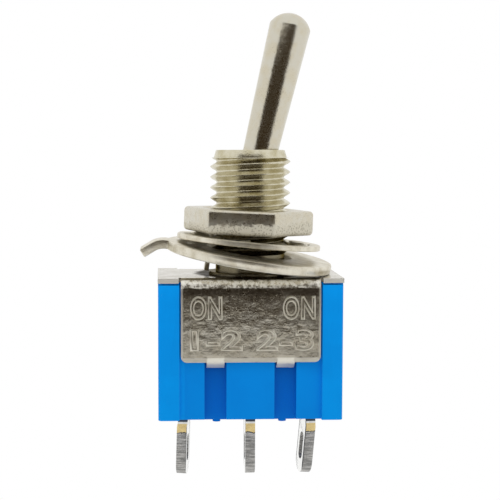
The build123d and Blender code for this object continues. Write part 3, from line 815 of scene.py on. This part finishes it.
def makeFrame():
    size = bracket
    half = size["depth"] / 2
    under = plateTop - size["sheet"]
    fold = size["bendRadius"] - half
    flangeEnd = size["flangeWidth"] / 2
    bottom = plateTop - size["flangeDrop"]
    edge = flangeEnd + size["relief"]
    piece = block("foldedFrame", (-size["width"] / 2, -half, under), (size["width"] / 2, half, plateTop))
    carve(piece, block("bendRelief", (-edge, -half - 1, under - 1), (edge, fold, plateTop + 1)))
    carve(piece, rod("frameHole", size["hole"], under - 1, plateTop + 1, (-size["offset"], 0)))
    # only the front half is shaped, and its mirror is the back half
    editMode(piece, "VERT", "SELECT")
    bpy.ops.mesh.bisect(plane_co=(0, 0, 0), plane_no=(0, 1, 0), clear_outer=True)
    for x in (-flangeEnd, flangeEnd):
        bpy.ops.mesh.select_all(action="SELECT")
        bpy.ops.mesh.bisect(plane_co=(x, 0, 0), plane_no=(1, 0, 0))
    objectMode()
    selectFaces(piece, lambda centre, normal: normal.y < -0.9 and abs(centre.x) < flangeEnd
        and abs(centre.y - fold) < 0.01)
    bpy.ops.mesh.spin(steps=8, angle=radians(90), axis=(-1, 0, 0),
        center=(0, fold, plateTop - size["bendRadius"]))
    pushFaces((0, 0, size["bendRadius"] - size["flangeDrop"]))
    objectMode()
    bevelEdges(piece, size["corner"], 6,
        lambda a, b: abs(a.y - b.y) > 0.1 and max(a.z, b.z) < bottom + 0.01)
    for x in aboutZero(size["crimpSpacing"]):
        addCrimp(piece, x)
    back = copyOf(piece, "frameBack")
    back.scale = (1, -1, 1)
    applyPlace(back)
    piece = joined([piece, back])
    cleanUp(piece)
    softenEdges(piece, 0.045)
    place(piece, move=(size["offset"], 0, 0))
    # this angle keeps the flats flat and the eight steps of the bend smooth
    complete(piece, 20, "housing", "frame_plating", frameMaterial, "frame")


makeFrame()


# case, with the places of the lugs

caseBox = {"width": 13.0, "depth": 7.9, "drop": 10.03, "corner": 0.3, "column": 1.48, "baseHeight": 0.17,
    "baseInset": 0.6, "lowering": 0.14, "recess": 0.38, "bendRoom": 0.7, "groove": 1.55,
    "grooveDepth": 0.8, "endWall": 1.1, "sideWall": 0.5, "floor": -12.9636, "sealDepth": 0.9,
    "sealWall": 0.65, "footSpacing": 4.7, "footRadius": 0.28, "footHeight": 0.16, "lipRoom": 0.05,
    "lipDepth": 0.4, "slotRoom": 0.03, "slot": (-2.6, 0.4)}
lugs = {"pitch": 4.7, "offset": -0.05, "thickness": 0.7, "width": 2.0, "reach": 4.59,
    "leans": (1.5, 0.0, 5.0), "twists": (-9.0, 0.0, 8.0)}
lugPlaces = [-lugs["pitch"] + lugs["offset"], 0.0, lugs["pitch"] + lugs["offset"]]
caseLook = {"pale": (0.0, 0.30, 0.86), "bright": (0.0, 0.33, 0.92), "worn": (0.04, 0.40, 0.90),
    "grooveShadeColour": (0.0, 0.085, 0.50), "middle": (0.0, 0.19, 0.72), "cloud": (0.35, 0.65), "rub": 0.12,
    "wornShare": 0.25, "grooves": (-0.42, -0.60), "grooveShadeShare": 0.75, "recessShadeReach": (4.95, 4.75),
    "recessShadeShare": 0.45, "rough": (0.35, 0.65, 0.40, 0.52), "skin": 0.005, "scuffs": 0.004}


def caseMaterial():
    look = caseLook
    material, shader, where = newMaterial("blueMoulding", Specular_IOR_Level=0.06)
    aside, ahead = partsOf(where)[:2]
    cloud = noiseOf(where, 0.35)
    skin = noiseOf(where, 9.0, 4.0, 0.6)
    scuffs = useGroup(drawnGrain, Place=where, Across=(1, 1, 14), Fineness=1.4)["Marks"]
    rub = useGroup(edgeRub, Width=look["rub"] * millimetre, Place=where)["Rub"]
    colour = blended(rangeOf(cloud, *look["cloud"]), look["pale"], look["bright"])
    colour = blended(times(rub, look["wornShare"]), colour, look["worn"])
    # painted shade: the grooves and the recessed middle of the front are painted a deeper tone than the
    # corners, standing in for the shade in these recesses
    grooves = rangeOf(distanceOf(ahead), *[caseBox["depth"] / 2 + inset for inset in look["grooves"]])
    colour = blended(times(grooves, look["grooveShadeShare"]), colour, look["grooveShadeColour"])
    middle = rangeOf(distanceOf(aside), *look["recessShadeReach"])
    colour = blended(times(middle, look["recessShadeShare"]), colour, look["middle"])
    connect(shader, plus(times(skin, look["skin"]), times(scuffs, look["scuffs"])), Base_Color=colour,
        Roughness=rangeOf(scuffs, *look["rough"]))
    return material


def makeCase():
    size = caseBox
    top = plateTop - bracket["sheet"]
    bottom = plateTop - size["drop"]
    base = bottom - size["baseHeight"]
    halfWidth = size["width"] / 2
    halfDepth = size["depth"] / 2
    recessDepth = halfDepth - size["recess"]
    grooveDepth = recessDepth - size["grooveDepth"]
    inner = halfWidth - size["column"]
    bendLevel = top - (size["bendRoom"] - bracket["sheet"])
    piece = block("mouldedCase", (-halfWidth, -halfDepth, bottom), (halfWidth, halfDepth, top))
    bevelEdges(piece, size["corner"], 5, lambda a, b: abs(a.z - b.z) > 1)
    # each cut is its ends along X, how far in it stops and the level it starts from
    cuts = [(-inner, inner, recessDepth, bottom - 1),
        (-inner, inner, halfDepth - size["bendRoom"], bendLevel),
        (-halfWidth - 1, halfWidth + 1, recessDepth, top - size["lowering"])]
    for x in aboutZero(bracket["crimpSpacing"]):
        cuts.append((x - size["groove"] / 2, x + size["groove"] / 2, grooveDepth, bottom - 1))
    for side in (-1, 1):
        for left, right, reach, level in cuts:
            near, far = sorted((side * reach, side * (halfDepth + 1)))
            carve(piece, block("caseCut", (left, near, level), (right, far, top + 1)))
    baseX = halfWidth - size["baseInset"]
    combine(piece, block("caseBase", (-baseX, -grooveDepth, base), (baseX, grooveDepth, bottom + 0.1)))
    for x in aboutZero(size["footSpacing"]):
        for y in (size["footRadius"] - grooveDepth, grooveDepth - size["footRadius"]):
            combine(piece, rod("caseFoot", size["footRadius"], base - size["footHeight"], base + 0.1,
                (x, y), 24))
    cavityX = halfWidth - size["endWall"]
    for name, wall, low, high in (("caseCavity", "sideWall", size["floor"], top + 1),
            ("sealPocket", "sealWall", bottom - 1, base + size["sealDepth"])):
        y = grooveDepth - size[wall]
        carve(piece, block(name, (-cavityX, -y, low), (cavityX, y, high)))
    place(piece, move=(bracket["offset"], 0, 0))
    carve(piece, rod("lipRoom", bushing["lipRadius"] + size["lipRoom"], top - size["lipDepth"], top + 1))
    half = lugs["thickness"] / 2 + size["slotRoom"]
    wide = lugs["width"] / 2 + size["slotRoom"]
    for x, lean in zip(lugPlaces, lugs["leans"]):
        knife = block("lugSlot", (-half, -wide, size["slot"][0]), (half, wide, size["slot"][1]))
        carve(piece, place(knife, (0, lean, 0), (x, 0, size["floor"])))
    cleanUp(piece)
    softenEdges(piece, 0.05)
    complete(piece, 35, "housing", "blue_moulding", caseMaterial(), "case")


makeCase()


# terminals

contacts = {"distance": 3.8, "rivet": 0.8, "padMargin": 0.05, "shank": 0.4, "shankRoom": 0.005,
    "padBend": 0.4, "axis": -12.05, "earWidth": 0.6, "earHeight": 0.55, "notch": 0.92, "eyeWidth": 0.9,
    "eyeLength": 2.0, "eyeEdge": 0.95, "twistLength": 1.0, "corner": 0.9}
# the band's levels are counted from its foot, and the outline from the lug's edge
tinLook = {"foot": 1.62, "bare": (0.28, 0.38), "light": (0.70, 0.76), "dark": (0.84, 0.90),
    "stripes": (0.38, 0.62), "lumps": (0.45, 0.7), "lumpShare": 0.5, "broad": (0.8, 0.93),
    "outline": (-0.22, -0.14), "rough": (0.3, 0.7, 0.42, 0.58), "shine": 0.22, "ridgeDepth": 0.05,
    "lumpDepth": 0.04, "flattened": 1.1, "darkTin": (0.26, 0.26, 0.25), "paleTin": (0.52, 0.51, 0.49),
    "lumpTin": (0.40, 0.39, 0.37), "broadTin": (0.90, 0.90, 0.88), "brass": (0.82, 0.66, 0.33),
    "oldBrass": (0.56, 0.42, 0.18), "lightLine": (0.72, 0.72, 0.70), "caseShadowLine": (0.05, 0.06, 0.08),
    "outlineFilm": ((0.06, 0.06, 0.06), 1.0, 0.5, 1.0)}


def tinMaterial():
    # rough tin below a band of bare brass
    look = tinLook
    material, shader, where = newMaterial("tinnedBrass", Metallic=1.0)
    ahead, level = partsOf(where)[1:]
    foot = plateTop - caseBox["drop"] - look["foot"]

    def above(value, name):
        return rangeOf(value, *[foot + step for step in look[name]])

    ragged = noiseOf(where, 2.2)
    ridges = useGroup(drawnGrain, Place=where, Across=(0.7, 0.7, 6.0), Fineness=1.1)["Marks"]
    lumps = noiseOf(where, 2.6, 4.0, 0.65)
    stripes = rangeOf(noiseOf(where, 3.0, 2.0, 0.5, (0.25, 0.25, 3.2)), *look["stripes"])
    tin = blended(stripes, look["darkTin"], look["paleTin"])
    tin = blended(times(rangeOf(lumps, *look["lumps"]), look["lumpShare"]), tin, look["lumpTin"])
    # the broad faces are bright, only the cut edges are rough
    facing = partsOf(addNode(material.node_tree, "ShaderNodeNewGeometry").outputs["Normal"])[0]
    broad = rangeOf(distanceOf(facing), *look["broad"])
    tin = blended(broad, tin, look["broadTin"])
    bare = times(above(plus(level, times(ragged, 0.5)), "bare"), minus(1.0, broad))
    brass = blended(ragged, look["brass"], look["oldBrass"])
    brass = blended(above(level, "light"), brass, look["lightLine"])
    # painted shadow: the very top of the brass band, just under the case, is painted dark and a little blue
    brass = blended(above(level, "dark"), brass, look["caseShadowLine"])
    smoothed = larger(bare, broad)
    rough = minus(rangeOf(lumps, *look["rough"]), times(smoothed, look["shine"]))
    height = plus(times(ridges, look["ridgeDepth"]), times(lumps, look["lumpDepth"]))
    height = times(height, minus(look["flattened"], smoothed))
    connect(shader, height, Base_Color=blended(bare, tin, brass), Roughness=rough)
    outline = rangeOf(distanceOf(ahead), *[lugs["width"] / 2 + inset for inset in look["outline"]])
    tarnishAndPaintedLight(material, times(outline, broad), *look["outlineFilm"])
    return material


terminalMaterial = tinMaterial()


def makeLug(lean, twist):
    size = lugs
    half = size["thickness"] / 2
    wide = size["width"] / 2
    buried = caseBox["floor"] - (plateTop - caseBox["drop"] - caseBox["baseHeight"])
    piece = block("solderLug", (-half, -wide, -buried), (half, wide, 0))
    selectFaces(piece, lambda centre, normal: normal.z < -0.9)
    steps = 3
    for i in range(steps):
        pushFaces((0, 0, -contacts["twistLength"] / steps))
        bpy.ops.transform.rotate(value=-radians(twist) / steps, orient_axis="Z",
            center_override=(0, 0, 0))
    pushFaces((0, 0, contacts["twistLength"] - size["reach"]))
    objectMode()
    low = -buried - size["reach"]
    bevelEdges(piece, contacts["corner"], 8, lambda a, b: abs(a.z - low) < 0.001
        and abs(b.z - low) < 0.001 and (a - b).length < size["thickness"] + 0.01)
    eyeWide, eyeLong = contacts["eyeWidth"] / 2, contacts["eyeLength"] / 2
    middle = low + contacts["eyeEdge"] + eyeLong
    eye = block("lugEye", (-1, -eyeWide, -eyeLong), (1, eyeWide, eyeLong))
    bevelEdges(eye, eyeWide - 0.001, 8, lambda a, b: abs(a.x - b.x) > 1)
    carve(piece, place(eye, (0, 0, twist), (0, 0, middle)))
    # one cut through the eye leaves no face with a hole in it
    editMode(piece, "VERT", "SELECT")
    bpy.ops.mesh.bisect(plane_co=(0, 0, middle), plane_no=(0, 0, 1))
    objectMode()
    return place(piece, (0, lean, 0))


def finishTerminal(piece, number, x, node):
    lug = makeLug(lugs["leans"][number], lugs["twists"][number])
    combine(piece, place(lug, move=(x, 0, caseBox["floor"])))
    cleanUp(piece)
    softenEdges(piece, 0.05, 45)
    complete(piece, 35, "housing", "tinned_brass", terminalMaterial, node)


def makeOuterTerminal(name, side, number, node):
    half = lugs["thickness"] / 2
    floor = caseBox["floor"]
    outer = side * (lugs["pitch"] + half) + lugs["offset"]
    inner = side * (contacts["distance"] - contacts["rivet"] - contacts["padMargin"])
    low, high = sorted((outer, inner))
    pad = block(name, (low, -lugs["width"] / 2, floor), (high, lugs["width"] / 2, floor + 2 * half))
    bevelEdges(pad, contacts["padBend"], 5, lambda *ends: all(abs(end.x - outer) < 0.01
        and abs(end.z - floor - 2 * half) < 0.01 for end in ends))
    carve(pad, rod("shankHole", contacts["shank"] + contacts["shankRoom"], floor - 1, floor + 2,
        (side * contacts["distance"], 0), 32))
    finishTerminal(pad, number, side * lugs["pitch"] + lugs["offset"], node)


def makeCommonTerminal():
    half = lugs["thickness"] / 2
    notch = contacts["notch"]
    axis = contacts["axis"]
    head = notch + contacts["earWidth"]
    top = axis + contacts["earHeight"]
    piece = block("middleTerminal", (-half, -head, caseBox["floor"]), (half, head, top))
    carve(piece, block("saddleNotch", (-1, -notch, axis - half), (1, notch, top + 1)))
    saddle = rod("saddle", half, -notch - 0.02, notch + 0.02, sides=32)
    combine(piece, place(saddle, (90, 0, 0), (0, 0, axis - half)))
    finishTerminal(piece, 1, 0, "common_terminal")


makeOuterTerminal("leftTerminal", -1, 0, "left_terminal")
makeCommonTerminal()
makeOuterTerminal("rightTerminal", 1, 2, "right_terminal")


# lettering on the front flange

lettering = {"face": -3.95, "bead": 0.085, "proud": 0.06, "spread": 0.022, "spacing": 1.12,
    "depthShare": 0.72}
# a word's text, its middle, baseline, width and height
letters = {"wordOnLeft": ("ON", -3.335, -8.66, 2.26, 1.70), "wordOnRight": ("ON", 3.17, -8.66, 2.30, 1.70),
    "numberRow": ("1-2 2-3", -0.125, -10.85, 8.7, 1.56)}
# painted highlight: the letters get a paler nickel than the frame, standing in for the highlights along their
# stamped strokes
letterHighlightMaterial = nickelMaterial("letterHighlightNickel", across=(1, 1, 8), pale=(0.66, 0.63, 0.54),
    warm=(0.54, 0.50, 0.41), gloss=0.40, grainDepth=0.002, waveDepth=0.01)


def makeWord(name, text, middle, baseline, width, height):
    # only the outline of each letter stands up, as a low rounded bead
    size = lettering
    deselectAll()
    bpy.ops.object.text_add()
    words = bpy.context.object.data
    words.body = text
    words.size = 1.0
    words.space_character = size["spacing"]
    words.offset = size["spread"]
    words.fill_mode = "NONE"
    words.bevel_depth = size["bead"] / height * size["depthShare"]
    words.bevel_resolution = 2
    bpy.ops.object.convert(target="MESH")
    piece = newest(name)
    across, up, out = zip(*[vertex.co for vertex in piece.data.vertices])
    place(piece, move=(-(min(across) + max(across)) / 2, -min(up), 0))
    piece.scale = (width / (max(across) - min(across)), height / (max(up) - min(up)),
        size["proud"] / max(out))
    applyPlace(piece)
    place(piece, (90, 0, 0), (middle, size["face"], baseline))
    cleanUp(piece, 0.0001)
    complete(piece, 60, "housing", "frame_plating", letterHighlightMaterial)


for name, entry in letters.items():
    makeWord(name, *entry)


# the pieces inside are taken over from the frame

insideLook = {"cloud": (0.35, 0.65), "rough": (0.3, 0.7), "gloss": (-0.05, 0.08), "speckSize": 3,
    "specks": 0.4, "dull": 0.1}


def plainMaterial(name, pale, dark, metallic, roughness, grainSize, depth):
    look = insideLook
    material, shader, where = newMaterial(name, Metallic=metallic)
    cloud = noiseOf(where, grainSize, 4.0)
    speck = useGroup(platingSpeckle, Place=where, Size=grainSize * look["speckSize"],
        Amount=look["specks"])["Specks"]
    rough = rangeOf(cloud, *look["rough"], *[roughness + step for step in look["gloss"]])
    connect(shader, times(cloud, depth), Roughness=plus(rough, times(speck, look["dull"])),
        Base_Color=blended(rangeOf(cloud, *look["cloud"]), pale, dark))
    return material


silver = plainMaterial("contactSilver", (0.86, 0.85, 0.81), (0.70, 0.68, 0.62), 1.0, 0.25, 3.0, 0.01)
nylon = plainMaterial("whiteNylon", (0.80, 0.79, 0.74), (0.72, 0.70, 0.63), 0.0, 0.45, 1.5, 0.01)
steel = plainMaterial("springSteel", (0.46, 0.45, 0.43), (0.34, 0.33, 0.31), 1.0, 0.28, 6.0, 0.005)
potting = plainMaterial("potting", (0.045, 0.05, 0.06), (0.03, 0.032, 0.04), 0.0, 0.35, 0.8, 0.05)
insides = {"left_fixed_contact": silver, "right_fixed_contact": silver, "rocker_contact": silver,
    "contact_plunger": nylon, "plunger_spring": steel, "terminal_seal": potting}
for node, material in insides.items():
    for holder in frame["nodes"][node].material_slots:
        holder.material = material


# floor, card, light and camera

studio = {"floor": -20.72, "floorSpan": 1200, "cardDistance": 79, "cardLeft": -46, "cardRight": 40,
    "cardTop": 76, "cardFoot": 0.5, "cardSteps": 24, "white": (0.85, 0.85, 0.85), "dull": 0.9,
    "sheen": 0.1, "seenLift": 0.45, "mirroredLift": 0.3, "card": (0.055, 0.040, 0.024), "sky": 0.75,
    "skyLift": 0.25, "lampSize": (0.12, 0.08), "lampEnergy": 0.045, "lampPlace": (-40, -60, 110),
    "lampAim": (0, 0, -5)}
view = {"from": (-6.5, -85, 2.8), "yaw": 2.0, "pitch": 4.61, "lens": 84.4, "shift": 0.097, "near": 0.005}


def floorMaterial():
    # white to the eye and in reflections, and it keeps the shadow
    material, shader = newMaterial("whiteFloor", Base_Color=studio["white"], Roughness=studio["dull"],
        Specular_IOR_Level=studio["sheen"])[:2]
    tree = material.node_tree
    path = addNode(tree, "ShaderNodeLightPath").outputs
    mirrored = larger(path["Is Glossy Ray"], path["Is Transmission Ray"])
    lift = plus(times(path["Is Camera Ray"], studio["seenLift"]), times(mirrored, studio["mirroredLift"]))
    glow = addNode(tree, "ShaderNodeEmission", {"Color": (1, 1, 1), "Strength": lift}).outputs[0]
    total = addNode(tree, "ShaderNodeAddShader", {0: shader.outputs[0], 1: glow}).outputs[0]
    feed(tree.nodes["Material Output"].inputs["Surface"], total)
    return material


def cardMaterial():
    material, shader = newMaterial("darkCard")[:2]
    tree = material.node_tree
    tree.nodes.remove(shader)
    glow = addNode(tree, "ShaderNodeEmission", {"Color": studio["card"], "Strength": 1.0})
    feed(tree.nodes["Material Output"].inputs["Surface"], glow.outputs[0])
    return material


def makeStage():
    size = studio
    deselectAll()
    bpy.ops.mesh.primitive_plane_add(size=size["floorSpan"], location=(0, 0, size["floor"]))
    floor = newest("floor")
    # the dark side of the studio, seen only in the metal
    sweep = (size["cardRight"] - size["cardLeft"]) / size["cardSteps"]
    turns = [radians(size["cardLeft"] + sweep * i) for i in range(size["cardSteps"] + 1)]
    card = chain("darkCard", [(size["cardDistance"] * sin(turn), -size["cardDistance"] * cos(turn),
        size["floor"] + size["cardFoot"]) for turn in turns])
    editMode(card, "VERT", "SELECT")
    rise = (0, 0, size["cardTop"] - size["floor"])
    bpy.ops.mesh.extrude_edges_move(TRANSFORM_OT_translate={"value": rise})
    objectMode()
    for piece, material in ((floor, floorMaterial()), (card, cardMaterial())):
        piece.data.materials.append(material)
        piece.scale = (millimetre,) * 3
        applyPlace(piece)
    for ray in ("camera", "diffuse", "transmission", "volume_scatter", "shadow"):
        setattr(card, "visible_" + ray, False)
    print("made the floor and the card")


def makeLight():
    world = bpy.data.worlds.new("softStudio")
    bpy.context.scene.world = world
    world.use_nodes = True
    sky = world.node_tree.nodes["Background"].inputs
    path = addNode(world.node_tree, "ShaderNodeLightPath").outputs
    straight = larger(path["Is Camera Ray"], larger(path["Is Glossy Ray"], path["Is Transmission Ray"]))
    feed(sky["Color"], (1, 1, 1))
    feed(sky["Strength"], plus(studio["sky"], times(straight, studio["skyLift"])))
    lamp = bpy.data.lights.new("topLamp", "AREA")
    lamp.shape = "RECTANGLE"
    lamp.size, lamp.size_y = studio["lampSize"]
    lamp.energy = studio["lampEnergy"]
    holder = bpy.data.objects.new("topLamp", lamp)
    holder.visible_glossy = False
    bpy.context.collection.objects.link(holder)
    holder.location = Vector(studio["lampPlace"]) * millimetre
    aim = Vector(studio["lampAim"]) * millimetre - holder.location
    holder.rotation_euler = aim.to_track_quat("-Z", "Y").to_euler()


def makeCamera():
    camera = bpy.data.objects.new("camera", bpy.data.cameras.new("camera"))
    bpy.context.collection.objects.link(camera)
    camera.location = Vector(view["from"]) * millimetre
    camera.rotation_euler = (radians(90 - view["pitch"]), 0, -radians(view["yaw"]))
    camera.data.lens = view["lens"]
    camera.data.shift_x = view["shift"]
    camera.data.clip_start = view["near"]
    bpy.context.scene.camera = camera
    bpy.context.scene.view_settings.view_transform = "Standard"
    print("made the light and the camera")


makeStage()
makeLight()
makeCamera()
